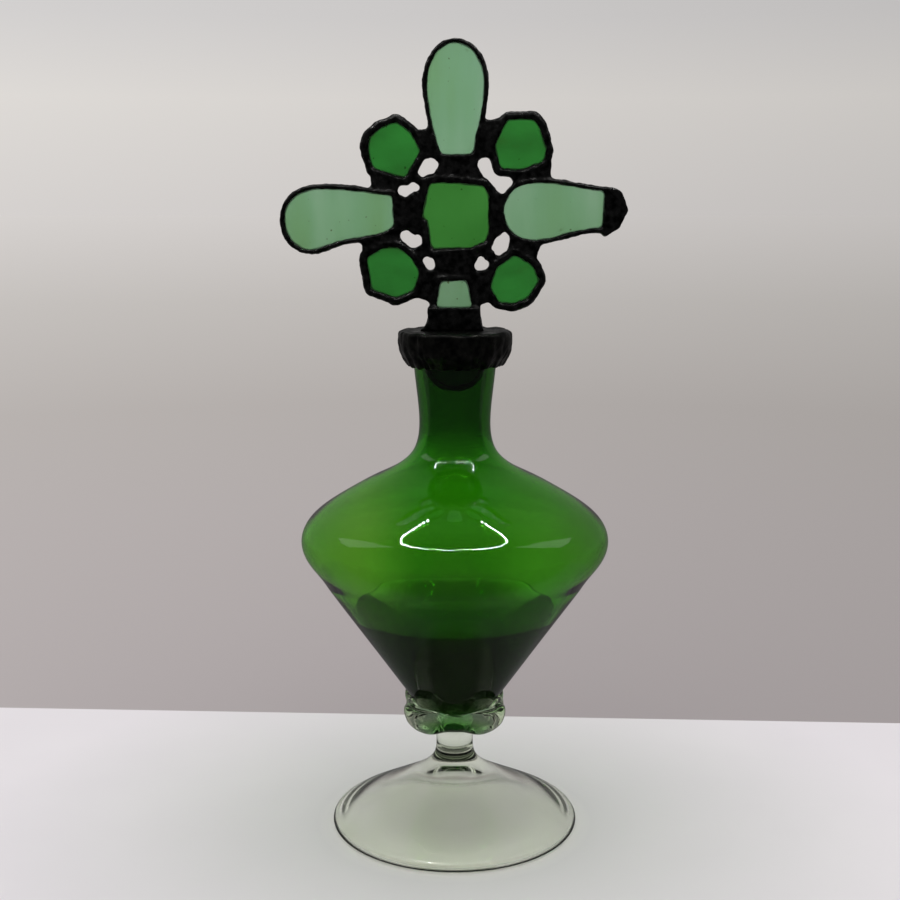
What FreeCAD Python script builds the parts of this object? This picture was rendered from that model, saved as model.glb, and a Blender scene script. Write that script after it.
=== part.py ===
import FreeCAD, Part
import math
import os

# A hand-blown scent bottle on a hollow foot, closed by a stained-glass cross that lifts out of the neck.
# Millimetres. Z is up, X runs along the cross and Y is the cross's thickness.
# The origin is on the bottle's axis, at the underside of the foot.

# Driving dimensions: bottle
FOOT_RADIUS = 48.75
FOOT_TOP_Z = 26.4
STEM_RADIUS = 7.15
STEM_TOP_RADIUS = 7.8
BODY_BASE_Z = 39.8
CONE_FOOT = (9.45, 41.2)
CONE_TOP = (50.0, 99.0)
CAVITY_BASE_Z = 46.0
LIP_Z = 193.4
LIP_RADIUS = 16.0
LIP_BORE_RADIUS = 13.2
LIQUID_Z = 88.0
RIGAREE_LOBES = 4
RIGAREE_RADIUS = 22.2
RIGAREE_TOP_Z = 52.3

# Driving dimensions: stopper
LID_GAP = 0.2
PLATE_THICKNESS = 2.0
PLATE_RADIUS = 20.4
BEAD_RADIUS = 1.1
SKIRT_BASE_Z = 182.2
SKIRT_WALL = 0.9
GLASS_THICKNESS = 3.0
CAME_THICKNESS = 4.6
CAME_LAP = 1.0
PETAL_RIM = 1.8
NUGGET_RIM = 3.1
CENTRE_RIM = 3.4
PETAL_STEPS = 24
JOINT_THICKNESS = 3.6
SHEATH_THICKNESS = 7.2
SHEATH_TOP_Z = 204.4

PLATE_BASE_Z = LIP_Z + LID_GAP
PLATE_TOP_Z = PLATE_BASE_Z + PLATE_THICKNESS

# Windows of the cross: the glass left bare inside its rim, as (x, z) points.
# Each petal is a smooth curve from one corner of its narrow end, round to the other.
TOP_PETAL = [
    (-5.2, 260.9), (-7.6, 268.5), (-9.1, 276.4), (-10.2, 285.3), (-9.1, 292.0), (-5.4, 297.8),
    (0.2, 300.1), (5.7, 297.8), (9.5, 292.0), (10.5, 285.3), (9.2, 274.6), (6.5, 260.9),
]
LEFT_PETAL = [
    (-23.4, 245.6), (-40.7, 247.5), (-50.0, 247.7), (-57.2, 246.2), (-61.4, 242.6), (-63.0, 237.4),
    (-62.1, 231.9), (-58.7, 227.6), (-53.0, 226.0), (-46.6, 228.0), (-40.9, 229.6), (-35.0, 230.5),
    (-23.4, 234.0),
]
RIGHT_PETAL = [
    (55.4, 247.0), (38.9, 249.5), (29.6, 250.0), (24.1, 249.0), (20.0, 245.4), (18.3, 240.3),
    (19.4, 235.2), (22.8, 231.1), (28.0, 229.6), (37.3, 230.6), (54.6, 233.6),
]
BOTTOM_PETAL = [
    (-5.8, 214.6), (-7.7, 204.2), (-9.3, 195.5), (-10.35, 187.0), (-9.3, 180.0), (-5.6, 175.7),
    (0.0, 174.3), (5.6, 175.7), (9.3, 180.0), (10.35, 187.0), (9.0, 195.5), (7.1, 204.2), (5.0, 214.6),
]
# Each nugget and the centre is a cut polygon.
UPPER_LEFT_NUGGET = [
    (-21.6, 271.8), (-16.5, 268.2), (-13.2, 261.7), (-18.4, 252.3), (-29.9, 255.6), (-32.0, 262.8),
    (-31.2, 266.4), (-27.9, 269.3),
]
UPPER_RIGHT_NUGGET = [
    (19.5, 272.8), (28.7, 272.8), (30.9, 270.0), (33.2, 262.4), (32.5, 258.5), (25.5, 255.2),
    (17.0, 255.6), (15.0, 263.9),
]
LOWER_LEFT_NUGGET = [
    (-32.8, 222.6), (-27.2, 225.9), (-21.2, 226.3), (-16.0, 222.3), (-13.4, 217.4), (-15.7, 210.7),
    (-22.1, 208.1), (-31.1, 211.5), (-31.9, 217.4),
]
LOWER_RIGHT_NUGGET = [
    (22.4, 223.7), (29.2, 219.3), (31.1, 214.3), (26.7, 207.7), (21.8, 205.9), (16.6, 206.6),
    (13.5, 211.5), (15.6, 218.9),
]
CENTRE = [
    (-9.2, 249.8), (-2.2, 250.1), (10.4, 248.7), (12.3, 245.8), (12.3, 232.4), (11.2, 228.9),
    (5.6, 226.7), (-8.5, 226.3), (-10.0, 236.3), (-11.9, 237.7),
]

# Solder between the rims, as (x, z) polygons: the rims are cut out of each.
PETAL_JOINTS = [
    [(-9.0, 260.5), (-5.8, 257.0), (-8.6, 252.0), (10.6, 252.0), (8.2, 256.4), (9.2, 260.5)],
    [(-22.5, 247.0), (-18.2, 244.8), (-14.5, 247.5), (-14.5, 230.5), (-17.4, 233.0), (-22.5, 231.5)],
    [(14.8, 247.5), (17.4, 246.0), (20.0, 246.5), (20.0, 232.0), (18.3, 232.6), (14.8, 229.5)],
    [(-9.4, 216.0), (-7.1, 220.0), (-8.8, 224.0), (9.4, 224.0), (7.0, 219.7), (9.0, 216.0)],
]
NUGGET_JOINTS = [
    [(-15.0, 269.6), (-7.0, 269.3), (-5.8, 259.8), (-12.0, 258.8)],
    [(-31.4, 254.0), (-30.6, 247.0), (-21.3, 247.0), (-20.0, 252.0)],
    [(-16.6, 252.4), (-13.2, 253.2), (-11.6, 251.0), (-14.2, 249.6)],
    [(8.0, 259.4), (12.6, 259.2), (16.6, 273.6), (10.0, 272.4)],
    [(20.3, 254.0), (21.6, 249.6), (35.2, 249.6), (35.6, 257.6)],
    [(-34.8, 230.8), (-34.4, 225.4), (-20.0, 227.4), (-20.6, 232.6)],
    [(-15.5, 226.2), (-12.4, 227.4), (-11.0, 223.2), (-13.3, 222.0)],
    [(-12.6, 217.8), (-7.6, 218.2), (-8.6, 206.3), (-15.4, 208.0)],
    [(20.4, 230.2), (19.6, 225.4), (30.2, 222.4), (32.8, 229.6)],
    [(11.2, 226.2), (14.9, 225.0), (13.9, 220.8), (10.8, 222.2)],
    [(7.6, 217.6), (12.4, 218.4), (14.6, 206.8), (8.8, 205.2)],
]
TIP_CAP = [(56.0, 247.6), (58.6, 247.2), (60.6, 246.0), (63.1, 240.4), (60.0, 234.4), (56.0, 231.8)]
TIP_CAP_ROUNDING = 1.2
SHEATH = [
    (-10.4, SHEATH_TOP_Z), (-10.2, 199.4), (-11.4, 197.0), (-13.6, PLATE_TOP_Z),
    (10.9, PLATE_TOP_Z), (9.8, 198.2), (9.4, SHEATH_TOP_Z),
]


def in_cross_plane(points):
    """The (x, z) points as vectors in the middle plane of the cross."""
    return [FreeCAD.Vector(x, 0, z) for x, z in points]


def clockwise(points):
    """Whether the (x, z) points run clockwise, seen from the front."""
    pairs = zip(points, points[1:] + points[:1])
    return sum(ax * bz - bx * az for (ax, az), (bx, bz) in pairs) < 0


def curve(points):
    """One smooth edge through the points, given as vectors."""
    spline = Part.BSplineCurve()
    spline.interpolate(points)
    return spline.toShape()


def petal_wire(points, growth):
    """A petal's outline grown outwards: a smooth curve round it, and a straight narrow end."""
    window = Part.BSplineCurve()
    window.interpolate(in_cross_plane(points))
    across = FreeCAD.Vector(0, 1, 0)
    turn = 1 if clockwise(points) else -1
    side = []
    for step in range(PETAL_STEPS + 1):
        place = window.FirstParameter + step / PETAL_STEPS * (window.LastParameter - window.FirstParameter)
        along = window.tangent(place)[0]
        side.append(window.value(place) + along.cross(across).normalize() * growth * turn)
    first, last = in_cross_plane([points[0], points[-1]])
    end = (first - last).cross(across).normalize() * growth * turn
    corners = [side[-1], side[-1] + end, side[0] + end, side[0]]
    if growth == 0:
        corners = [side[-1], side[0]]
    return Part.Wire([curve(side)] + lines(corners))


def polygon_wire(points, growth=0):
    """A polygon's outline grown outwards, with round corners."""
    corners = in_cross_plane(points)
    wire = Part.makePolygon(corners + corners[:1])
    return wire.makeOffset2D(growth, 0, False) if growth else wire


def plate(wire, thickness):
    """The outline's face made into a flat plate centred on the cross's plane."""
    face = Part.Face(wire)
    face.translate(FreeCAD.Vector(0, -thickness / 2, 0))
    return face.extrude(FreeCAD.Vector(0, thickness, 0))


def turned(edges):
    """A closed outline of edges beside the Z axis, turned into a solid of revolution."""
    face = Part.Face(Part.Wire(edges))
    solid = face.revolve(FreeCAD.Vector(0, 0, 0), FreeCAD.Vector(0, 0, 1), 360)
    return Part.Solid(solid) if solid.ShapeType == "Shell" else solid


def lines(points):
    """Straight edges from point to point."""
    return [Part.makeLine(a, b) for a, b in zip(points, points[1:])]


def cut_all(shape, tools):
    """The shape with each tool cut out of it."""
    for tool in tools:
        shape = shape.cut(tool)
    return shape


def largest(shape):
    """The largest solid of a cut shape, without the slivers that a cut can leave."""
    return max(shape.Solids, key=lambda solid: solid.Volume)


def write(name, shape):
    """One STEP file for one named node."""
    shape.exportStep("parts/" + name + ".step")


# Bottle

def outer_vessel():
    """The filled outside of the green vessel: straight cone, round shoulder, flared neck."""
    base = in_cross_plane([(0, BODY_BASE_Z), (7.8, BODY_BASE_Z), CONE_FOOT, CONE_TOP])
    shoulder_and_neck = in_cross_plane([
        CONE_TOP, (55.1, 106.1), (58.2, 111.0), (59.15, 115.2), (57.9, 120.3), (51.1, 127.5),
        (42.5, 133.0), (30.85, 139.5), (23.7, 143.0), (19.3, 146.0), (16.0, 149.6), (14.0, 155.0),
        (13.5, 161.0), (14.0, 169.0), (15.5, 182.0), (LIP_RADIUS, LIP_Z),
    ])
    axis = in_cross_plane([(LIP_RADIUS, LIP_Z), (0, LIP_Z), (0, BODY_BASE_Z)])
    return turned(lines(base) + [curve(shoulder_and_neck)] + lines(axis))


def cavity():
    """The hollow of the vessel: round-bottomed cone, shoulder and bore, open at the lip."""
    cone_start = (10.6, 48.2)
    cone_end = (47.5, 99.2)
    bottom = in_cross_plane([(0, CAVITY_BASE_Z), (6.2, CAVITY_BASE_Z + 0.4), cone_start])
    shoulder_and_bore = in_cross_plane([
        cone_end, (52.7, 106.2), (55.9, 111.1), (56.9, 115.2), (55.6, 119.4), (49.7, 125.7),
        (41.3, 131.1), (29.8, 137.5), (22.2, 141.3), (16.6, 145.2), (12.8, 149.4), (10.8, 154.5),
        (10.2, 160.5), (10.6, 168.0), (11.7, 175.0), (12.7, 182.0), (LIP_BORE_RADIUS, LIP_Z),
    ])
    axis = in_cross_plane([(LIP_BORE_RADIUS, LIP_Z), (0, LIP_Z), (0, CAVITY_BASE_Z)])
    cone = lines(in_cross_plane([cone_start, cone_end]))
    return turned([curve(bottom)] + cone + [curve(shoulder_and_bore)] + lines(axis))


def perfume_fill(hollow):
    """The liquid: the hollow below its level surface."""
    reach = 60.0
    corner = FreeCAD.Vector(-reach, -reach, 0)
    return hollow.common(Part.makeBox(2 * reach, 2 * reach, LIQUID_Z, corner))


def rigaree_collar(vessel):
    """The clear trail round the vessel's base, pinched in between its lobes."""
    top = RIGAREE_TOP_Z
    outside = in_cross_plane([
        (0, BODY_BASE_Z), (12.6, BODY_BASE_Z), (17.4, 41.2), (20.9, 44.8),
        (RIGAREE_RADIUS, 48.8), (20.6, top), (0, top), (0, BODY_BASE_Z),
    ])
    band = turned(lines(outside)).cut(vessel)
    pitch = 2 * math.pi / RIGAREE_LOBES
    for lobe in range(RIGAREE_LOBES):
        angle = lobe * pitch
        toward = FreeCAD.Vector(math.cos(angle), math.sin(angle), 0)
        dip = Part.makeSphere(11.0, toward * 24.0 + FreeCAD.Vector(0, 0, top + 8.8))
        pinch = Part.makeSphere(10.0, toward * 29.4 + FreeCAD.Vector(0, 0, 45.6))
        band = cut_all(band, [dip, pinch])
    return band


def stem():
    """The short waisted stem between the foot and the vessel."""
    side = curve(in_cross_plane([
        (8.7, FOOT_TOP_Z), (7.4, 29.6), (STEM_RADIUS, 33.0), (7.3, 36.4), (STEM_TOP_RADIUS, BODY_BASE_Z),
    ]))
    rest = in_cross_plane([
        (STEM_TOP_RADIUS, BODY_BASE_Z), (0, BODY_BASE_Z), (0, FOOT_TOP_Z), (8.7, FOOT_TOP_Z),
    ])
    return turned([side] + lines(rest))


def foot():
    """The low cone of the foot, hollow underneath, standing on the ring of its rim."""
    top = curve(in_cross_plane([
        (8.7, FOOT_TOP_Z), (12.4, 22.9), (19.0, 18.7), (30.0, 12.8), (40.0, 7.6), (47.6, 3.5),
    ]))
    rim = Part.Arc(*in_cross_plane([(47.6, 3.5), (FOOT_RADIUS, 1.6), (47.3, 0)])).toShape()
    ring = lines(in_cross_plane([(47.3, 0), (45.8, 0)]))
    hollow = curve(in_cross_plane([
        (45.8, 0), (40.0, 4.3), (28.0, 10.7), (18.0, 16.0), (9.0, 19.9), (4.5, 20.8), (0, 21.0),
    ]))
    axis = lines(in_cross_plane([(0, 21.0), (0, FOOT_TOP_Z), (8.7, FOOT_TOP_Z)]))
    return turned([top, rim] + ring + [hollow] + axis)


# Stopper

def glazed_piece(outline, points, rim):
    """A glass plate lapped by its rim, the rim itself, and the solid that both fill together."""
    glass = plate(outline(points, CAME_LAP), GLASS_THICKNESS)
    whole = plate(outline(points, rim), CAME_THICKNESS)
    came = whole.cut(plate(outline(points, 0), CAME_THICKNESS)).cut(glass)
    return glass, came, whole


def solder_group(polygons, pieces):
    """Flat solder webs, each a separate solid that fits between the pieces."""
    webs = [plate(polygon_wire(polygon), JOINT_THICKNESS) for polygon in polygons]
    return Part.makeCompound([largest(cut_all(web, pieces)) for web in webs])


def collar_plate(petal):
    """The disc that rests over the lip, slotted for the bottom petal."""
    disc = Part.makeCylinder(PLATE_RADIUS, PLATE_THICKNESS, FreeCAD.Vector(0, 0, PLATE_BASE_Z))
    return cut_all(disc, petal)


def collar_skirt():
    """The skirt that hangs from the disc, outside the lip, and narrows towards the neck."""
    wall = SKIRT_WALL
    outside = [(21.0, PLATE_BASE_Z), (21.4, 191.4), (20.5, 187.4), (18.7, 184.2), (17.4, SKIRT_BASE_Z)]
    inside = [(radius - wall, z) for radius, z in reversed(outside)]
    edges = [curve(in_cross_plane(outside)), curve(in_cross_plane(inside))]
    bottom = lines(in_cross_plane([outside[-1], inside[0]]))
    top = lines(in_cross_plane([inside[-1], outside[0]]))
    return turned([edges[0]] + bottom + [edges[1]] + top)


def collar_bead(neighbours):
    """The rounded bead of solder round the disc's edge."""
    centre = FreeCAD.Vector(0, 0, PLATE_BASE_Z + BEAD_RADIUS + 0.05)
    return cut_all(Part.makeTorus(PLATE_RADIUS, BEAD_RADIUS, centre), neighbours)


def tip_cap(petal):
    """The solid solder tip at the outer end of the right petal."""
    outline = polygon_wire(TIP_CAP, TIP_CAP_ROUNDING)
    return largest(plate(outline, CAME_THICKNESS).cut(petal))


def make_bottle():
    """Writes the glass of the bottle and its liquid."""
    vessel = outer_vessel()
    hollow = cavity()
    write("bottle_body", vessel.cut(hollow))
    write("perfume_fill", perfume_fill(hollow))
    write("rigaree_collar", rigaree_collar(vessel))
    write("stem", stem())
    write("foot", foot())


def make_stopper():
    """Writes the cross and the collar that it stands on."""
    pieces = {
        "top_petal": (petal_wire, TOP_PETAL, PETAL_RIM),
        "left_petal": (petal_wire, LEFT_PETAL, PETAL_RIM),
        "right_petal": (petal_wire, RIGHT_PETAL, PETAL_RIM),
        "bottom_petal": (petal_wire, BOTTOM_PETAL, PETAL_RIM),
        "upper_left_nugget": (polygon_wire, UPPER_LEFT_NUGGET, NUGGET_RIM),
        "upper_right_nugget": (polygon_wire, UPPER_RIGHT_NUGGET, NUGGET_RIM),
        "lower_left_nugget": (polygon_wire, LOWER_LEFT_NUGGET, NUGGET_RIM),
        "lower_right_nugget": (polygon_wire, LOWER_RIGHT_NUGGET, NUGGET_RIM),
        "centre": (polygon_wire, CENTRE, CENTRE_RIM),
    }
    glazed = {name: glazed_piece(*piece) for name, piece in pieces.items()}
    placed = []
    for name, (glass, came, whole) in glazed.items():
        write(name + "_glass", glass)
        write(name + "_foil", cut_all(came, placed))
        placed.append(whole)
    petal_joints = solder_group(PETAL_JOINTS, placed)
    write("petal_solder_joints", petal_joints)
    write("nugget_solder_joints", solder_group(NUGGET_JOINTS, placed + [petal_joints]))
    write("right_petal_tip_cap", tip_cap(glazed["right_petal"][2]))
    tongue = glazed["bottom_petal"][:2]
    write("stem_sheath", cut_all(plate(polygon_wire(SHEATH), SHEATH_THICKNESS), tongue))
    disc = collar_plate(tongue)
    skirt = collar_skirt()
    write("collar_plate", disc)
    write("collar_skirt", skirt)
    write("collar_bead", collar_bead([disc, skirt]))


os.makedirs("parts", exist_ok=True)
make_bottle()
make_stopper()
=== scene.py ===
import math

import bmesh
import bpy
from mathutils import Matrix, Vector, noise

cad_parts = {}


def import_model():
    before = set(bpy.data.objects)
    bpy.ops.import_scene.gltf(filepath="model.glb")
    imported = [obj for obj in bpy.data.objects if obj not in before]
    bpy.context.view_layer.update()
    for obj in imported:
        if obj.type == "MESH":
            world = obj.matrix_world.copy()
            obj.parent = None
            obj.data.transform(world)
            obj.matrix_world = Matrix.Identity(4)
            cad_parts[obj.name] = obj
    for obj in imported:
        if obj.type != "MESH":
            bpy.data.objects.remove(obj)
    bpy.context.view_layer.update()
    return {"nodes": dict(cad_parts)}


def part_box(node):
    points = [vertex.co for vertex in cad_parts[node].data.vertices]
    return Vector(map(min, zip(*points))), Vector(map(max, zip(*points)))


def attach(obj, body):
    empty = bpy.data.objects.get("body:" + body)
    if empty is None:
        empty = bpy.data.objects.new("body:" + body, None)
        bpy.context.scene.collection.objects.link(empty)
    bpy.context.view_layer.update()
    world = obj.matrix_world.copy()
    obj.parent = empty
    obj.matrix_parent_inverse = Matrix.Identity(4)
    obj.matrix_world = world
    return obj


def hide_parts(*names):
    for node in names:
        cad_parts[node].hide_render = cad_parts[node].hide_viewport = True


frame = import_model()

# A blown-glass scent bottle with a stained-glass cross stopper. Metres, in the frame of the CAD model.

MM = 0.001

# Camera
CAMERA_PLACE = (-0.00185, -0.52, 0.2415)
CAMERA_TILT_DOWN = math.radians(10)
CAMERA_LENS = 55.2
SENSOR_WIDTH = 36.0

# Staging
SHEET_BACK_Y = 0.1128
SHEET_TURN = math.radians(-2.75)
HORIZON_GREY = (0.605, 0.58, 0.565)
# GROUND_FAR_GREY is the far end of the ground's painted shade; GROUND_FADE and GROUND_FADE_START set how
# it darkens towards the bottle.
GROUND_FAR_GREY = (0.647, 0.620, 0.604)
GROUND_RADIUS = 40.0
GROUND_BELOW = 0.2 * MM
GROUND_FADE = 0.6
GROUND_FADE_START = 0.52
SHEET_HALF_WIDTH = 0.75
SHEET_FRONT_Y = -1.1
# LEFT_GAIN and RIGHT_GAIN make the room's light, and the painted side light on the ground, lighter to the
# left and darker to the right.
LEFT_GAIN = 1.17
RIGHT_GAIN = 0.83

# How the stage darkens where glass or metal mirrors it. The shares go from 0 to 1.
DARK_ROOM = (0.05, 0.05, 0.05)
FRONT_OF_FOOT = (-0.045, -0.075)
MIRRORED_BEHIND = 0.80
PAPER_MIRRORED_BEHIND = 0.45
MIRRORED_THROUGH_FOOT = 0.75
MIRRORED_SPOT = (0.0, -0.026, 0.0)
MIRRORED_SPOT_RADIUS = 0.028
MIRRORED_SPOT_FADE = 1.25

# Lamps
LAMP_COLOUR = (1.0, 0.99, 0.97, 1)
LED_RING_PLACE = Vector((-0.004, -0.040, 0.45))
LED_RING_HALF_X = 0.152
LED_RING_HALF_Y = 0.103
LED_COUNT = 88
LED_SIZE = 0.0042
LED_STRENGTH = 170.0
# Each glow's path: degrees round from the front, degrees up, and half its width there.
SIDE_GLOW_PATH = ((77, 58, 0.006), (88, 48, 0.05), (97, 42, 0.09), (107, 37, 0.06), (117, 32, 0.004))
SIDE_GLOW_STRENGTH = 0.9
SIDE_GLOW_CENTRE = Vector((0, -0.03, 0.12))
SIDE_GLOW_REACH = 0.5
SOFT_LIGHT = (1.0, 1.0, 1.0)

# Mesh detail
LATHE_SEGMENTS = 192
PROFILE_STEP = 0.8 * MM
PROFILE_RELAX = 6
ON_AXIS = 0.05 * MM
WOBBLE_SCALE = 28.0
WOBBLE_FULL_RADIUS = 10 * MM
SOLDER_VOXEL = 0.36 * MM

# The glass at the top of the hollow under the foot: (radius, height above the CAD's) in mm.
FOOT_APEX_RADIUS = 9 * MM
FOOT_APEX = ((5.2, 0.4), (2.6, 0.95), (0.0, 1.0))

# The trail's cross-section, as (radius, height above its base) in mm, where it is widest and narrowest.
TRAIL_LOBES = 4
TRAIL_SEGMENTS = 256
TRAIL_POINTS = 44
TRAIL_STEP = 0.9 * MM
TRAIL_SWOLLEN = (
    (8.6, 0.6), (12.8, 0.2), (18.2, 0.9), (22.0, 4.3), (23.6, 8.6), (23.2, 11.6), (21.3, 12.8),
    (19.0, 11.8), (16.4, 9.4), (13.2, 5.4), (10.6, 1.6),
)
TRAIL_PINCHED = (
    (8.6, 0.6), (12.2, 1.1), (15.6, 2.6), (18.0, 4.9), (19.2, 7.4), (19.3, 9.6), (18.6, 10.7),
    (17.2, 10.2), (15.6, 8.8), (13.2, 5.4), (10.6, 1.6),
)

# The cross: how far the foil laps over each glass plate, and how far each half of a bead stands proud.
CAME_LAP = 1.0 * MM
BEAD_HALF_DEPTH = 2.5 * MM
TONGUE_EXTRA = 0.35 * MM
PETALS = ("top_petal", "left_petal", "right_petal", "bottom_petal")
NUGGETS = ("upper_left_nugget", "upper_right_nugget", "lower_left_nugget", "lower_right_nugget")
PANES = PETALS + NUGGETS + ("centre",)
SOLDER_JOINTS = ("petal_solder_joints", "nugget_solder_joints", "right_petal_tip_cap", "stem_sheath")

WHITE = (1.0, 1.0, 1.0)


# Node materials

def new_material(name):
    """A new node material, with its node tree and its Principled shader."""
    material = bpy.data.materials.new(name)
    material.use_nodes = True
    tree = material.node_tree
    shader = tree.nodes["Principled BSDF"]
    return material, tree, shader


def add_node(tree, kind, **settings):
    """A new node with its attributes set."""
    node = tree.nodes.new(kind)
    for key, value in settings.items():
        setattr(node, key, value)
    return node


def plug(tree, value, socket):
    """Links a socket to an input, or sets the input to a plain value."""
    if isinstance(value, bpy.types.NodeSocket):
        tree.links.new(value, socket)
    else:
        socket.default_value = value


def calculated(tree, operation, first, second, clamp=False):
    """One arithmetic step on two values, each of them a socket or a plain number."""
    node = add_node(tree, "ShaderNodeMath", operation=operation, use_clamp=clamp)
    plug(tree, first, node.inputs[0])
    plug(tree, second, node.inputs[1])
    return node.outputs["Value"]


def rescaled(tree, value, from_range=(0.0, 1.0), to_range=(0.0, 1.0), clamp=True):
    """A value moved from one range to another."""
    node = add_node(tree, "ShaderNodeMapRange", clamp=clamp)
    for name, number in zip(("From Min", "From Max", "To Min", "To Max"), (*from_range, *to_range)):
        node.inputs[name].default_value = number
    tree.links.new(value, node.inputs["Value"])
    return node.outputs["Result"]


def distance_to(tree, place):
    """The distance from a place in object space."""
    coordinates = add_node(tree, "ShaderNodeTexCoord")
    node = add_node(tree, "ShaderNodeVectorMath", operation="DISTANCE")
    node.inputs[1].default_value = place
    tree.links.new(coordinates.outputs["Object"], node.inputs[0])
    return node.outputs["Value"]


def stretched_noise(tree, scale, stretch=(1, 1, 1), detail=3.0):
    """Noise in object space, drawn out along an axis by a small stretch value."""
    coordinates = add_node(tree, "ShaderNodeTexCoord")
    mapping = add_node(tree, "ShaderNodeMapping")
    mapping.inputs["Scale"].default_value = stretch
    texture = add_node(tree, "ShaderNodeTexNoise")
    texture.inputs["Scale"].default_value = scale
    texture.inputs["Detail"].default_value = detail
    tree.links.new(coordinates.outputs["Object"], mapping.inputs["Vector"])
    tree.links.new(mapping.outputs["Vector"], texture.inputs["Vector"])
    return texture.outputs["Fac"]


def ramp(tree, factor, stops):
    """A colour ramp over (place, colour) stops."""
    node = add_node(tree, "ShaderNodeValToRGB")
    elements = node.color_ramp.elements
    while len(elements) < len(stops):
        elements.new(0.5)
    for element, (place, colour) in zip(elements, stops):
        element.position = place
        element.color = (*colour, 1)
    tree.links.new(factor, node.inputs["Fac"])
    return node.outputs["Color"]


def share_of(tree, axis, low, high, clamp=True):
    """0 at the low and 1 at the high coordinate along an axis, in object space."""
    coordinates = add_node(tree, "ShaderNodeTexCoord")
    parts = add_node(tree, "ShaderNodeSeparateXYZ")
    tree.links.new(coordinates.outputs["Object"], parts.inputs["Vector"])
    return rescaled(tree, parts.outputs[axis], (low, high), clamp=clamp)


def banded(tree, axis, stops):
    """A colour that follows one axis of object space, from (coordinate, colour) stops."""
    low, high = stops[0][0], stops[-1][0]
    shares = [((place - low) / (high - low), colour) for place, colour in stops]
    return ramp(tree, share_of(tree, axis, low, high), shares)


def mixed(tree, kind, factor, first, second):
    """Two colours mixed by a factor, each of them a socket or a plain value."""
    node = add_node(tree, "ShaderNodeMixRGB", blend_type=kind)
    plug(tree, factor, node.inputs["Fac"])
    for name, colour in (("Color1", first), ("Color2", second)):
        plug(tree, (*colour, 1) if isinstance(colour, tuple) else colour, node.inputs[name])
    return node.outputs["Color"]


def bump(tree, shader, height, strength, distance):
    """Raises the surface by a height texture."""
    node = add_node(tree, "ShaderNodeBump")
    node.inputs["Strength"].default_value = strength
    node.inputs["Distance"].default_value = distance
    tree.links.new(height, node.inputs["Height"])
    tree.links.new(node.outputs["Normal"], shader.inputs["Normal"])


def absorbing(tree, colour, density):
    """Colours the inside of a closed piece, so that it is deeper where it is thicker."""
    volume = add_node(tree, "ShaderNodeVolumeAbsorption")
    volume.inputs["Color"].default_value = (*colour, 1)
    volume.inputs["Density"].default_value = density
    tree.links.new(volume.outputs["Volume"], tree.nodes["Material Output"].inputs["Volume"])


def blown_glass(name, tints, bands, middle, painted_side_shading, absorbed, density, roughness, wave_strength):
    """Glass with the faint waves and cords of hand blowing, coloured by its thickness and by place, with
    painted side light and shade.

    The bands, (height, colour) stops, colour the middle of its front and back, and the painted side
    shading, (place across, colour) stops of painted light and shade, takes over from them between the two
    distances of middle."""
    material, tree, shader = new_material(name)
    shader.inputs["Transmission Weight"].default_value = 1.0
    shader.inputs["Roughness"].default_value = roughness
    shader.inputs["IOR"].default_value = 1.5
    cords = ramp(tree, stretched_noise(tree, 60.0, (1.0, 1.0, 0.35)), tints)
    off_middle = add_node(tree, "ShaderNodeMath", operation="ABSOLUTE")
    tree.links.new(share_of(tree, "X", 0.0, 1.0, clamp=False), off_middle.inputs[0])
    inner, outer = middle
    blend = ramp(tree, off_middle.outputs["Value"], [(inner, (0, 0, 0)), (outer, WHITE)])
    # The middle takes the bands, and the sides take the painted side light and shade.
    depth = mixed(tree, "MIX", blend, banded(tree, "Z", bands), banded(tree, "X", painted_side_shading))
    tree.links.new(mixed(tree, "MULTIPLY", 1.0, cords, depth), shader.inputs["Base Color"])
    waves = stretched_noise(tree, 34.0, (1.0, 1.0, 0.6), 1.0)
    bump(tree, shader, waves, wave_strength, 1.0 * MM)
    absorbing(tree, absorbed, density)
    return material


def stained_glass(name, stops, streak_scale, stretch, painted_shading):
    """Machine-rolled sheet glass: streaks of colour, and a surface that blurs what is behind it.

    The painted shading, (height, colour) stops, paints shade low down, darkest in the neck and under the
    collar, and painted light towards the top."""
    material, tree, shader = new_material(name)
    shader.inputs["Transmission Weight"].default_value = 0.86
    shader.inputs["Roughness"].default_value = 0.32
    shader.inputs["IOR"].default_value = 1.5
    streaks = ramp(tree, stretched_noise(tree, streak_scale, stretch, 4.0), stops)
    speck_stops = [(0.80, WHITE), (0.84, (0.25, 0.22, 0.12))]
    specks = ramp(tree, stretched_noise(tree, 620.0, (1, 1, 1), 0.0), speck_stops)
    speckled = mixed(tree, "MULTIPLY", 1.0, streaks, specks)
    shaded = mixed(tree, "MULTIPLY", 1.0, speckled, banded(tree, "Z", painted_shading))
    tree.links.new(shaded, shader.inputs["Base Color"])
    ripples = stretched_noise(tree, 260.0, (1.0, 1.0, 0.5), 2.0)
    bump(tree, shader, ripples, 0.25, 0.3 * MM)
    return material


def patinated_metal(name, dark, light, rough_low, rough_high, grain):
    """Solder or sheet metal under a black patina, worn greyer and smoother in random blotches."""
    material, tree, shader = new_material(name)
    shader.inputs["Metallic"].default_value = 0.85
    blotches = stretched_noise(tree, grain, (1, 1, 1), 6.0)
    tree.links.new(ramp(tree, blotches, [(0.38, dark), (0.72, light)]), shader.inputs["Base Color"])
    low = (rough_low,) * 3
    high = (rough_high,) * 3
    tree.links.new(ramp(tree, blotches, [(0.3, high), (0.7, low)]), shader.inputs["Roughness"])
    pits = stretched_noise(tree, grain * 4, (1, 1, 1), 5.0)
    bump(tree, shader, pits, 0.35, 0.15 * MM)
    return material


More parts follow.
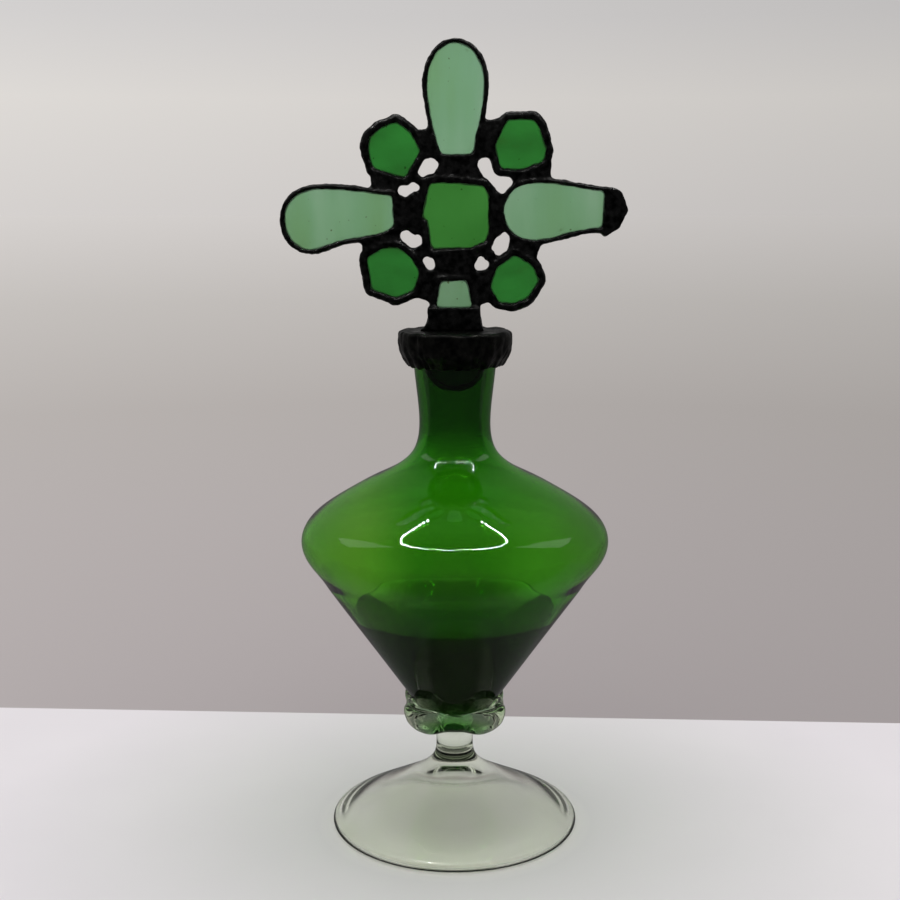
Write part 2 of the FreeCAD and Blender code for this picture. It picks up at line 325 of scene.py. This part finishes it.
def liquid():
    """A dark scent, clear enough at its thin edges to let light through."""
    material, tree, shader = new_material("dark_scent")
    shader.inputs["Transmission Weight"].default_value = 1.0
    shader.inputs["Roughness"].default_value = 0.0
    shader.inputs["IOR"].default_value = 1.4
    cloud = stretched_noise(tree, 30.0)
    stops = [(0.3, (0.93, 0.94, 0.90)), (0.7, (1.0, 1.0, 1.0))]
    tree.links.new(ramp(tree, cloud, stops), shader.inputs["Base Color"])
    absorbing(tree, (0.20, 0.10, 0.12), 62.0)
    return material


# Meshes

def link(name, mesh, material):
    """A smooth-shaded object of the mesh."""
    piece = bpy.data.objects.new(name, mesh)
    bpy.context.scene.collection.objects.link(piece)
    mesh.materials.clear()
    mesh.materials.append(material)
    mesh.shade_smooth()
    return piece


def corner(vertex):
    """A vertex's place, rounded so that split copies of it agree."""
    return tuple(round(c, 6) for c in vertex.co)


def chains(pairs):
    """Joins pairs of neighbouring points into runs, each an ordered list."""
    beside = {}
    for a, b in pairs:
        beside.setdefault(a, set()).add(b)
        beside.setdefault(b, set()).add(a)
    runs = []
    left = set(beside)
    while left:
        ends = sorted(p for p in left if len(beside[p]) == 1)
        run = [ends[0] if ends else min(left)]
        left.discard(run[0])
        while True:
            onward = sorted(p for p in beside[run[-1]] if p in left)
            if not onward:
                break
            run.append(onward[0])
            left.discard(onward[0])
        runs.append(run)
    return runs


def seam_run(node):
    """The (radius, height) outline of a turned CAD node, from the axis or its top, along its seam."""
    on_seam = 2e-6
    mesh = frame["nodes"][node].data
    pairs = set()
    for edge in mesh.edges:
        a, b = (corner(mesh.vertices[i]) for i in edge.vertices)
        if a != b and all(abs(p[1]) < on_seam and p[0] > -on_seam for p in (a, b)):
            pairs.add((min(a, b), max(a, b)))
    run = max(chains(pairs), key=len)
    return [(max(x, 0.0), z) for x, _, z in run]


def evenly(points, step, closed=False):
    """Points spaced evenly along a run of points."""
    places = [Vector(p) for p in points]
    if closed:
        places.append(places[0])
    lengths = [0.0]
    for a, b in zip(places, places[1:]):
        lengths.append(lengths[-1] + (b - a).length)
    count = max(4, round(lengths[-1] / step))
    result = []
    index = 0
    for i in range(count if closed else count + 1):
        target = lengths[-1] * i / count
        while index < len(lengths) - 2 and lengths[index + 1] < target:
            index += 1
        span = lengths[index + 1] - lengths[index]
        result.append(places[index].lerp(places[index + 1], (target - lengths[index]) / span))
    return result


def relaxed(points, rounds, closed=False):
    """The run with its corners rounded, by moving each point towards its neighbours' middle."""
    for _ in range(rounds):
        last = len(points) - 1
        moved = list(points)
        for i, point in enumerate(points):
            if closed or 0 < i < last:
                middle = (points[i - 1] + points[(i + 1) % len(points)]) / 2
                moved[i] = point.lerp(middle, 0.5)
        points = moved
    return points


def hand_made(place, size, scale):
    """A small offset that varies smoothly from place to place, as hand-blown glass does."""
    return noise.noise(place * scale) * size


def lathe(name, profile, material, wobble=0.0):
    """Turns a profile, from the axis round to the axis, into a closed mesh."""
    mesh = bmesh.new()
    rings = []
    for radius, height in profile:
        if radius < ON_AXIS:
            rings.append([mesh.verts.new((0, 0, height))])
            continue
        ring = []
        for segment in range(LATHE_SEGMENTS):
            angle = 2 * math.pi * segment / LATHE_SEGMENTS
            toward = Vector((math.cos(angle), math.sin(angle), 0))
            place = toward * radius + Vector((0, 0, height))
            steadied = min(1.0, radius / WOBBLE_FULL_RADIUS)
            place += toward * hand_made(place, wobble, WOBBLE_SCALE) * steadied
            ring.append(mesh.verts.new(place))
        rings.append(ring)
    for low, high in zip(rings, rings[1:]):
        for segment in range(LATHE_SEGMENTS):
            after = (segment + 1) % LATHE_SEGMENTS
            around = [low[segment % len(low)], low[after % len(low)]]
            around += [high[after % len(high)], high[segment % len(high)]]
            distinct = list(dict.fromkeys(around))
            if len(distinct) > 2:
                mesh.faces.new(distinct)
    return finished(name, mesh, material)


def finished(name, mesh, material):
    """The bmesh made into an object, with its faces turned outwards."""
    bmesh.ops.recalc_face_normals(mesh, faces=mesh.faces)
    data = bpy.data.meshes.new(name)
    mesh.to_mesh(data)
    mesh.free()
    return link(name, data, material)


def bottle_body(glass):
    """The green vessel, from the axis inside its base, up the inside and down the outside."""
    run = seam_run("bottle_body")
    run.append((0, run[-1][1]))
    profile = [tuple(p) for p in relaxed(evenly(run, PROFILE_STEP), PROFILE_RELAX)]
    piece = lathe("green_vessel", profile, glass, 0.14 * MM)
    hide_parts("bottle_body")
    return piece


def scent(material):
    """The liquid, which wets the glass: it reaches a hair into the wall."""
    wetting = 0.2 * MM
    wall_slope = 0.72
    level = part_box("perfume_fill")[1].z
    run = seam_run("bottle_body")
    inside = run[:next(i for i, (_, z) in enumerate(run) if z > level)]
    wall = [(radius + wetting, z) for radius, z in inside]
    rim = wall[-1][0] + (level - wall[-1][1]) * wall_slope
    start = [(0, inside[0][1] - wetting)]
    surface = [(rim, level), (0, level)]
    profile = [tuple(p) for p in evenly(start + wall[1:] + surface, PROFILE_STEP)]
    piece = lathe("scent", profile, material)
    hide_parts("perfume_fill")
    return piece


def foot_and_stem(glass):
    """The hollow foot and the stem drawn from it, as one closed shell of clear glass."""
    side = seam_run("stem")
    run = [(0, side[0][1])] + side[:-1] + seam_run("foot")[::-1]
    top = run[-1][1]
    rim = min(range(len(run)), key=lambda i: run[i][1])
    run = run[:rim] + [p for p in run[rim:] if p[0] > FOOT_APEX_RADIUS]
    run += [(radius * MM, top + rise * MM) for radius, rise in FOOT_APEX]
    profile = [tuple(p) for p in relaxed(evenly(run, PROFILE_STEP), PROFILE_RELAX)]
    piece = lathe("foot_and_stem", profile, glass, 0.1 * MM)
    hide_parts("foot", "stem")
    return piece


def rigaree(glass):
    """The clear trail round the vessel's base: a thick band that swells and dips in four lobes."""
    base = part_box("rigaree_collar")[0].z
    mesh = bmesh.new()
    rings = []
    for segment in range(TRAIL_SEGMENTS):
        angle = 2 * math.pi * segment / TRAIL_SEGMENTS
        share = 0.5 - 0.5 * math.cos(TRAIL_LOBES * angle)
        share = share * share * (3 - 2 * share)
        section = []
        for (big_r, big_z), (small_r, small_z) in zip(TRAIL_SWOLLEN, TRAIL_PINCHED):
            radius = small_r + (big_r - small_r) * share
            height = small_z + (big_z - small_z) * share
            section.append(Vector((radius * MM, base + height * MM)))
        section = relaxed(evenly(section, TRAIL_STEP, closed=True)[:TRAIL_POINTS], 2, closed=True)
        ring = []
        for point in section:
            toward = Vector((math.cos(angle), math.sin(angle), 0))
            place = toward * point.x + Vector((0, 0, point.y))
            lift = min(1.0, (point.y - base) / (4 * MM))
            place += toward * hand_made(place, 0.45 * MM, 90.0) * lift
            place.z += hand_made(place + Vector((0.3, 0, 0)), 0.5 * MM, 60.0) * lift
            ring.append(mesh.verts.new(place))
        rings.append(ring)
    size = min(len(ring) for ring in rings)
    for ring, following in zip(rings, rings[1:] + rings[:1]):
        for i in range(size):
            after = (i + 1) % size
            mesh.faces.new([ring[i], following[i], following[after], ring[after]])
    piece = finished("rigaree_trail", mesh, glass)
    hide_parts("rigaree_collar")
    return piece


def front_outline(node):
    """The (x, z) outline of a flat CAD plate's front face, in order."""
    mesh = frame["nodes"][node].data
    on_front = 1e-5
    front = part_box(node)[0].y + on_front
    seen = {}
    for face in mesh.polygons:
        corners = [corner(mesh.vertices[i]) for i in face.vertices]
        if all(p[1] < front for p in corners):
            for a, b in zip(corners, corners[1:] + corners[:1]):
                pair = (min(a, b), max(a, b))
                seen[pair] = seen.get(pair, 0) + 1
    loops = chains([pair for pair, times in seen.items() if times == 1])
    longest = max(loops, key=len)
    return [Vector((x, z)) for x, _, z in longest]


def moved_out(loop, distance):
    """A closed loop moved outwards."""
    area = sum(a.x * b.y - b.x * a.y for a, b in zip(loop, loop[1:] + loop[:1]))
    side = 1 if area > 0 else -1
    result = []
    for i, point in enumerate(loop):
        along = (loop[(i + 1) % len(loop)] - loop[i - 1]).normalized()
        result.append(point + Vector((along.y, -along.x)) * distance * side)
    return result


def bead(mesh, loop, half_width, half_depth):
    """A rounded bead round a closed loop in the cross's plane."""
    points = 14
    unevenness = 0.10
    uneven_scale = 190
    rings = []
    for i, place in enumerate(loop):
        along = (loop[(i + 1) % len(loop)] - loop[i - 1]).normalized()
        outward = Vector((along.y, 0, -along.x))
        uneven = 1 + unevenness * noise.noise(Vector((place.x, half_depth, place.y)) * uneven_scale)
        ring = []
        for k in range(points):
            angle = 2 * math.pi * k / points
            across = outward * math.cos(angle) * half_width * uneven
            through = Vector((0, 1, 0)) * math.sin(angle) * half_depth * uneven
            ring.append(mesh.verts.new(Vector((place.x, 0, place.y)) + across + through))
        rings.append(ring)
    for ring, following in zip(rings, rings[1:] + rings[:1]):
        for k in range(points):
            after = (k + 1) % points
            mesh.faces.new([ring[k], ring[after], following[after], following[k]])


def add_cad_solid(mesh, node):
    """A copy of a CAD node's solids, welded closed."""
    weld = 1e-6
    copy = bmesh.new()
    copy.from_mesh(frame["nodes"][node].data)
    bmesh.ops.remove_doubles(copy, verts=copy.verts, dist=weld)
    data = bpy.data.meshes.new("weld")
    copy.to_mesh(data)
    copy.free()
    mesh.from_mesh(data)
    bpy.data.meshes.remove(data)


def fused(name, mesh, material, voxel, fillet, smoothing):
    """One skin over everything in the mesh, with its narrow corners filled and its edges softened."""
    piece = finished(name, mesh, material)
    for offset in (0.0, fillet, -fillet):
        if offset:
            swell = piece.modifiers.new("swell", "DISPLACE")
            swell.mid_level = 0.0
            swell.strength = offset
        remesh = piece.modifiers.new("fuse", "REMESH")
        remesh.mode = "VOXEL"
        remesh.voxel_size = voxel
    soften = piece.modifiers.new("soften", "SMOOTH")
    soften.factor = 0.5
    soften.iterations = smoothing
    bpy.context.view_layer.update()
    evaluated = piece.evaluated_get(bpy.context.evaluated_depsgraph_get())
    skin = bpy.data.meshes.new_from_object(evaluated)
    piece.modifiers.clear()
    piece.data = skin
    skin.materials.clear()
    skin.materials.append(material)
    skin.shade_smooth()
    return piece


def roughened(piece, layers):
    """Moves each point along its normal by layers of (scale, size) noise."""
    moves = []
    for vertex in piece.data.vertices:
        lift = sum(noise.noise(vertex.co * scale) * size for scale, size in layers)
        moves.append(vertex.co + vertex.normal * lift)
    for vertex, place in zip(piece.data.vertices, moves):
        vertex.co = place
    piece.data.update()


def solder_work(metal):
    """The solder over the foil of every glass piece, run together with the joints between them."""
    overlap = 0.1 * MM
    mesh = bmesh.new()
    for name in PANES:
        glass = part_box(name + "_glass")
        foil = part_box(name + "_foil")
        rim = (glass[0].x - foil[0].x + foil[1].x - glass[1].x) / 2 + CAME_LAP
        loop = evenly(front_outline(name + "_glass"), 0.7 * MM, closed=True)
        inward = TONGUE_EXTRA if name == "bottom_petal" else 0.0
        loop = moved_out(loop, rim / 2 - CAME_LAP - inward)
        bead(mesh, loop, rim / 2 + overlap + inward, BEAD_HALF_DEPTH)
    for node in SOLDER_JOINTS:
        add_cad_solid(mesh, node)
    piece = fused("solder_work", mesh, metal, SOLDER_VOXEL, fillet=0.8 * MM, smoothing=9)
    roughened(piece, [(260.0, 0.28 * MM), (700.0, 0.17 * MM)])
    foils = [name + "_foil" for name in PANES]
    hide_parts(*foils, *SOLDER_JOINTS)
    return piece


def crumpled(piece, flat_radius, top, drop):
    """Folds, creases and dents the sheet beyond a radius, most of all towards its lower edge."""
    fold_size = 0.8
    crease_size = 0.7
    dent_size = 0.35
    swell = 0.15
    upper_share = 0.35
    lower_wave = 0.8
    upper_wave = 0.5
    for vertex in piece.data.vertices:
        co = vertex.co
        radius = math.hypot(co.x, co.y)
        if radius < flat_radius:
            continue
        toward = Vector((co.x, co.y, 0)) / radius
        depth = min(1.0, max(0.0, (top - co.z) / drop))
        fold = noise.noise(toward * 5.5 + Vector((0, 0, co.z * 60)))
        crease = abs(noise.noise(toward * 9.0 + Vector((3.0, 0, co.z * 90))))
        dent = noise.noise(toward * 14.0 + Vector((0, 4.0, co.z * 240)))
        push = fold * fold_size - crease * crease_size + dent * dent_size + swell
        vertex.co += toward * push * MM * (upper_share + depth)
        vertex.co.z += noise.noise(toward * 6.0 + Vector((7.0, 1.0, 0))) * lower_wave * MM * depth ** 3
        vertex.co.z += noise.noise(toward * 4.0 + Vector((1.0, 5.0, 0))) * upper_wave * MM * (1 - depth)
    piece.data.update()


def collar(metal):
    """The disc, its bead and the crumpled skirt, made from one sheet and creased by hand."""
    plate_low, plate_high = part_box("collar_plate")
    skirt_low, skirt_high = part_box("collar_skirt")
    bead_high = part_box("collar_bead")[1]
    edge = bead_high.x
    wall = 0.9 * MM
    drop = skirt_high.z - skirt_low.z
    outside = [
        (edge - 1.0 * MM, bead_high.z),
        (edge, bead_high.z - 1.0 * MM),
        (skirt_high.x, skirt_high.z - 0.2 * drop),
        (skirt_high.x - 0.9 * MM, skirt_high.z - 0.54 * drop),
        (skirt_high.x - 2.7 * MM, skirt_high.z - 0.82 * drop),
        (skirt_high.x - 4.0 * MM, skirt_low.z),
    ]
    inside = [(radius - wall, z) for radius, z in outside[:1:-1]]
    inside.append((edge - 1.6 * MM, plate_low.z))
    run = [(0, plate_high.z), (edge - 2.2 * MM, plate_high.z)] + outside + inside + [(0, plate_low.z)]
    profile = [tuple(p) for p in relaxed(evenly(run, 0.45 * MM), 3)]
    piece = lathe("collar_cap", profile, metal)
    crumpled(piece, plate_high.x - 4 * MM, bead_high.z, drop)
    roughened(piece, [(420.0, 0.12 * MM)])
    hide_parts("collar_plate", "collar_bead", "collar_skirt")
    return piece


def glaze(pale, deep, middle):
    """Gives the sheet glass of the cross its materials."""
    choices = {name: pale for name in PETALS}
    choices.update({name: deep for name in NUGGETS})
    choices["centre"] = middle
    for name, material in choices.items():
        plate = frame["nodes"][name + "_glass"]
        plate.data.materials.clear()
        plate.data.materials.append(material)


# Staging

def staged_plane(name, corners, material):
    """A flat piece of the stage."""
    mesh = bmesh.new()
    mesh.faces.new([mesh.verts.new(c) for c in corners])
    piece = finished(name, mesh, material)
    return piece


def paper():
    """White paper, very slightly mottled, with a painted shadow round the foot's rim and under its stem,
    painted light under the rest of the foot, and darkened where glass or metal mirrors it.
    """
    material, tree, shader = new_material("paper")
    shader.inputs["Roughness"].default_value = 0.9
    shader.inputs["Specular IOR Level"].default_value = 0.2
    mottle = stretched_noise(tree, 9.0)
    stops = [(0.3, (0.80, 0.76, 0.79)), (0.7, (0.84, 0.80, 0.825))]
    # By distance from the axis: painted shadow under the stem and round the foot's rim, and painted light
    # under the rest of the foot.
    painted_shadow_and_light_by_distance = [
        (0.012, (0.90, 0.94, 0.86)),
        (0.034, (1.13, 1.18, 1.08)),
        (0.046, (1.10, 1.15, 1.05)),
        (0.052, (0.81, 0.85, 0.80)),
        (0.19, WHITE),
    ]
    painted_shadow_and_light_near_foot = ramp(tree, distance_to(tree, (0, 0, 0)), painted_shadow_and_light_by_distance)
    shaded = mixed(tree, "MULTIPLY", 1.0, ramp(tree, mottle, stops), painted_shadow_and_light_near_foot)
    through_foot = mirrored_through_foot(tree)
    spot = calculated(tree, "MULTIPLY", through_foot, under_front(tree))
    mirrored = mirrored_rays(tree, share_of(tree, "Y", *FRONT_OF_FOOT), PAPER_MIRRORED_BEHIND)
    for share in (through_foot, spot, mirrored):
        shaded = mixed(tree, "MIX", share, shaded, DARK_ROOM)
    tree.links.new(shaded, shader.inputs["Base Color"])
    return material


def mirrored_rays(tree, front, behind=MIRRORED_BEHIND):
    """How far, 0 to 1, to darken what is seen mirrored in glass or metal, and most of all to the front."""
    rays = add_node(tree, "ShaderNodeLightPath").outputs
    mirrored = calculated(tree, "SUBTRACT", rays["Is Glossy Ray"], rays["Is Transmission Ray"], clamp=True)
    unscattered = calculated(tree, "SUBTRACT", mirrored, rays["Diffuse Depth"], clamp=True)
    return calculated(tree, "MULTIPLY", unscattered, rescaled(tree, front, to_range=(behind, 1.0)))


def mirrored_through_foot(tree):
    """How far, 0 to 1, to darken what the vessel mirrors through the glass of the foot."""
    most_passes = 2.5
    rays = add_node(tree, "ShaderNodeLightPath").outputs
    shallow = calculated(tree, "LESS_THAN", rays["Transmission Depth"], most_passes)
    mirrored = calculated(tree, "MULTIPLY", rays["Glossy Depth"], shallow, clamp=True)
    unscattered = calculated(tree, "SUBTRACT", mirrored, rays["Diffuse Depth"], clamp=True)
    return rescaled(tree, unscattered, to_range=(0.0, MIRRORED_THROUGH_FOOT))


def under_front(tree):
    """1 on the paper under the front of the foot, and 0 away from it."""
    fade = (MIRRORED_SPOT_RADIUS * MIRRORED_SPOT_FADE, MIRRORED_SPOT_RADIUS)
    return rescaled(tree, distance_to(tree, MIRRORED_SPOT), fade)


def lit_from_left(tree, colour, sideways):
    """Makes a colour of the surroundings lighter to the left and darker to the right."""
    gain = rescaled(tree, sideways, (-0.5, 0.5), (LEFT_GAIN, RIGHT_GAIN))
    scaled = add_node(tree, "ShaderNodeVectorMath", operation="SCALE")
    tree.links.new(colour, scaled.inputs[0])
    tree.links.new(gain, scaled.inputs["Scale"])
    return scaled.outputs["Vector"]


def ground_with_painted_shade():
    """Grey with painted shade: darker near the bottle and lighter with distance, lighter to the left and
    darker to the right, and darkened where glass or metal mirrors it.
    """
    material, tree, shader = new_material("ground")
    shader.inputs["Roughness"].default_value = 1.0
    shader.inputs["Specular IOR Level"].default_value = 0.0
    away = calculated(tree, "ADD", distance_to(tree, (0, 0, 0)), GROUND_FADE_START)
    nearness = calculated(tree, "DIVIDE", GROUND_FADE, away)
    sideways = calculated(tree, "DIVIDE", share_of(tree, "X", 0.0, 1.0, clamp=False), away)
    # Painted shade: the ground is darkest near the bottle and lightens with distance.
    stops = [
        (0.0, GROUND_FAR_GREY),
        (0.165, (0.53, 0.505, 0.485)),
        (0.35, (0.455, 0.425, 0.41)),
        (0.53, (0.445, 0.41, 0.405)),
        (0.92, (0.415, 0.375, 0.38)),
    ]
    lit = lit_from_left(tree, ramp(tree, nearness, stops), sideways)
    mirrored = mirrored_rays(tree, share_of(tree, "Y", *FRONT_OF_FOOT))
    tree.links.new(mixed(tree, "MIX", mirrored, lit, DARK_ROOM), shader.inputs["Base Color"])
    return material


def floor():
    """A white sheet on a wide grey ground."""
    half = SHEET_HALF_WIDTH
    slant = math.tan(SHEET_TURN) * half
    corners = [
        (-half, SHEET_FRONT_Y, 0),
        (half, SHEET_FRONT_Y, 0),
        (half, SHEET_BACK_Y + slant, 0),
        (-half, SHEET_BACK_Y - slant, 0),
    ]
    staged_plane("sheet", corners, paper())
    wide = GROUND_RADIUS
    corners = [(x * wide, y * wide, -GROUND_BELOW) for x, y in ((-1, -1), (1, -1), (1, 1), (-1, 1))]
    staged_plane("ground", corners, ground_with_painted_shade())


def lamp_material(name, strength):
    """A surface that only gives off light."""
    material, tree, shader = new_material(name)
    shader.inputs["Base Color"].default_value = (0, 0, 0, 1)
    shader.inputs["Emission Color"].default_value = LAMP_COLOUR
    shader.inputs["Emission Strength"].default_value = strength
    return material


def staged_lamp(name, mesh, material):
    """A lamp of the stage, seen only in glass and metal."""
    piece = finished(name, mesh, material)
    piece.visible_camera = False
    piece.visible_diffuse = False


def led_ring():
    """A ring of small lamps over the bottle."""
    mesh = bmesh.new()
    half = LED_SIZE / 2
    for i in range(LED_COUNT):
        angle = 2 * math.pi * i / LED_COUNT
        across = math.cos(angle) * LED_RING_HALF_X
        back = math.sin(angle) * LED_RING_HALF_Y
        place = LED_RING_PLACE + Vector((across, back, 0))
        corners = [place + Vector((a, b, 0)) * half for a, b in ((1, 1), (1, -1), (-1, -1), (-1, 1))]
        mesh.faces.new([mesh.verts.new(c) for c in corners])
    staged_lamp("led_ring", mesh, lamp_material("led", LED_STRENGTH))


def side_glows():
    """Two curved strips of soft light high on either side."""
    material = lamp_material("side_glow", SIDE_GLOW_STRENGTH)
    for side in (-1, 1):
        mesh = bmesh.new()
        rows = []
        for degrees_round, degrees_up, half_width in SIDE_GLOW_PATH:
            turn = math.radians(degrees_round) * side
            climb = math.radians(degrees_up)
            level = Vector((math.sin(turn), -math.cos(turn), 0)) * math.cos(climb)
            toward = level + Vector((0, 0, math.sin(climb)))
            up = (Vector((0, 0, 1)) - toward * toward.z).normalized()
            place = SIDE_GLOW_CENTRE + toward * SIDE_GLOW_REACH
            rows.append([mesh.verts.new(place + up * half_width * k) for k in (-1, 1)])
        for row, following in zip(rows, rows[1:]):
            mesh.faces.new([row[0], following[0], following[1], row[1]])
        staged_lamp("side_glow", mesh, material)


def world():
    """Soft light for all matt surfaces, and for glass and metal a pale band round a dark room."""
    surroundings = bpy.data.worlds.new("soft_room")
    bpy.context.scene.world = surroundings
    surroundings.use_nodes = True
    tree = surroundings.node_tree
    coordinates = add_node(tree, "ShaderNodeTexCoord")
    parts = add_node(tree, "ShaderNodeSeparateXYZ")
    tree.links.new(coordinates.outputs["Generated"], parts.inputs["Vector"])
    wall = (0.59, 0.575, 0.57)
    stops = [(0.0, HORIZON_GREY), (0.074, (0.66, 0.635, 0.61)), (0.13, wall), (0.30, wall),
             (0.60, (0.50, 0.49, 0.48))]
    band = lit_from_left(tree, ramp(tree, parts.outputs["Z"], stops), parts.outputs["X"])
    path = add_node(tree, "ShaderNodeLightPath")
    front = rescaled(tree, parts.outputs["Y"], (0.5, 0.0))
    seen = mixed(tree, "MIX", mirrored_rays(tree, front), band, DARK_ROOM)
    colour = mixed(tree, "MIX", path.outputs["Diffuse Depth"], seen, SOFT_LIGHT)
    tree.links.new(colour, tree.nodes["Background"].inputs["Color"])


def camera():
    """The viewpoint: level with the cross, looking slightly down."""
    data = bpy.data.cameras.new("view")
    data.lens = CAMERA_LENS
    data.sensor_width = SENSOR_WIDTH
    data.clip_end = 200.0
    seen_from = bpy.data.objects.new("view", data)
    seen_from.location = CAMERA_PLACE
    seen_from.rotation_euler = (math.pi / 2 - CAMERA_TILT_DOWN, 0, 0)
    bpy.context.scene.collection.objects.link(seen_from)
    bpy.context.scene.camera = seen_from


def bottle():
    """Everything that stands still."""
    belly = (0.46, 0.81, 0.26)
    wet = (0.28, 0.28, 0.26)
    green = blown_glass(
        "green_blown_glass",
        tints=[(0.35, (0.93, 1.0, 0.88)), (0.7, WHITE)],
        bands=[
            (0.036, (1.0, 1.0, 0.9)), (0.0455, (0.95, 1.0, 0.8)), (0.050, wet), (0.080, wet),
            (0.087, (0.36, 0.50, 0.30)), (0.093, (0.40, 0.62, 0.27)), (0.106, belly), (0.140, belly),
            (0.148, (0.38, 0.65, 0.27)), (0.158, (0.21, 0.35, 0.19)), (0.1935, (0.17, 0.27, 0.17)),
        ],
        middle=(0.0145, 0.036),
        # Painted side light: the green glass is lighter on the left, and darker and greyer on the right.
        painted_side_shading=[
            (-0.060, (0.93, 0.94, 0.86)), (-0.036, (0.98, 1.0, 0.74)),
            (0.036, (0.66, 0.90, 0.50)), (0.060, (0.78, 0.77, 0.78)),
        ],
        absorbed=(0.35, 0.765, 0.01), density=500.0, roughness=0.01, wave_strength=0.035,
    )
    clear = blown_glass(
        "clear_blown_glass",
        tints=[(0.35, (0.975, 1.0, 0.95)), (0.7, WHITE)],
        bands=[(0.0, (0.985, 0.99, 0.97)), (0.053, WHITE)],
        middle=(0.010, 0.030),
        painted_side_shading=[(-0.03, WHITE), (0.03, WHITE)],
        absorbed=(0.72, 0.80, 0.60), density=30.0, roughness=0.07, wave_strength=0.06,
    )
    smoky = (0.84, 0.88, 0.76)
    painted_hook_shade = (0.30, 0.38, 0.30)
    trail = blown_glass(
        "clear_trail_glass",
        tints=[(0.35, (0.90, 1.0, 0.86)), (0.7, WHITE)],
        # Painted shade at the foot of the middle of the trail's front and back, then a painted green glow,
        # and a painted highlight along its top edge.
        bands=[
            (0.0398, (0.05, 0.16, 0.06)), (0.0430, (0.07, 0.24, 0.06)), (0.0450, (0.12, 0.55, 0.06)),
            (0.0470, (0.32, 0.80, 0.18)), (0.0490, (0.75, 0.95, 0.62)), (0.0506, (0.92, 1.0, 0.86)),
            (0.0525, smoky),
        ],
        middle=(0.0112, 0.0124),
        # Painted shade on the hooks of the lobes, beside the middle.
        painted_side_shading=[(-0.0155, smoky), (-0.0132, painted_hook_shade), (0.0132, painted_hook_shade), (0.0155, smoky)],
        absorbed=(0.72, 0.80, 0.60), density=14.0, roughness=0.02, wave_strength=0.06,
    )
    for piece in (bottle_body(green), scent(liquid()), foot_and_stem(clear), rigaree(trail)):
        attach(piece, "bottle")


def stopper():
    """Everything that lifts out."""
    painted_neck_shade = (0.06, 0.12, 0.05)
    # Painted shade on the petals: dark in the neck and under the collar, less dark just above it, and
    # painted light at the top.
    petal_painted_shading = [
        (0.172, painted_neck_shade), (0.200, painted_neck_shade), (0.203, (0.86, 0.87, 0.84)), (0.235, (0.93, 0.95, 0.90)),
        (0.302, (1.06, 1.06, 1.10)),
    ]
    even_shades = [(0.20, WHITE), (0.28, WHITE)]
    pale = stained_glass(
        "pale_sheet_glass",
        [(0.34, (0.24, 0.52, 0.21)), (0.5, (0.29, 0.59, 0.34)), (0.66, (0.41, 0.68, 0.47))],
        42.0, (1.0, 1.0, 0.22), petal_painted_shading,
    )
    deep = stained_glass(
        "deep_sheet_glass",
        [(0.35, (0.045, 0.13, 0.010)), (0.43, (0.025, 0.24, 0.028)), (0.64, (0.036, 0.35, 0.044))],
        75.0, (0.5, 1.0, 1.1), even_shades,
    )
    middle = stained_glass(
        "middle_sheet_glass",
        [(0.3, (0.042, 0.28, 0.030)), (0.7, (0.066, 0.37, 0.052))],
        50.0, (0.7, 1.0, 0.7), even_shades,
    )
    glaze(pale, deep, middle)
    black_solder = patinated_metal(
        "black_patina_solder", (0.0003, 0.0003, 0.0004), (0.030, 0.030, 0.030), 0.24, 0.48, 420.0
    )
    black_sheet = patinated_metal(
        "black_patina_sheet", (0.0003, 0.0003, 0.0003), (0.022, 0.022, 0.019), 0.24, 0.52, 300.0
    )
    for piece in (solder_work(black_solder), collar(black_sheet)):
        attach(piece, "stopper")


bpy.context.scene.view_settings.view_transform = "Standard"
camera()
floor()
led_ring()
side_glows()
world()
bottle()
stopper()
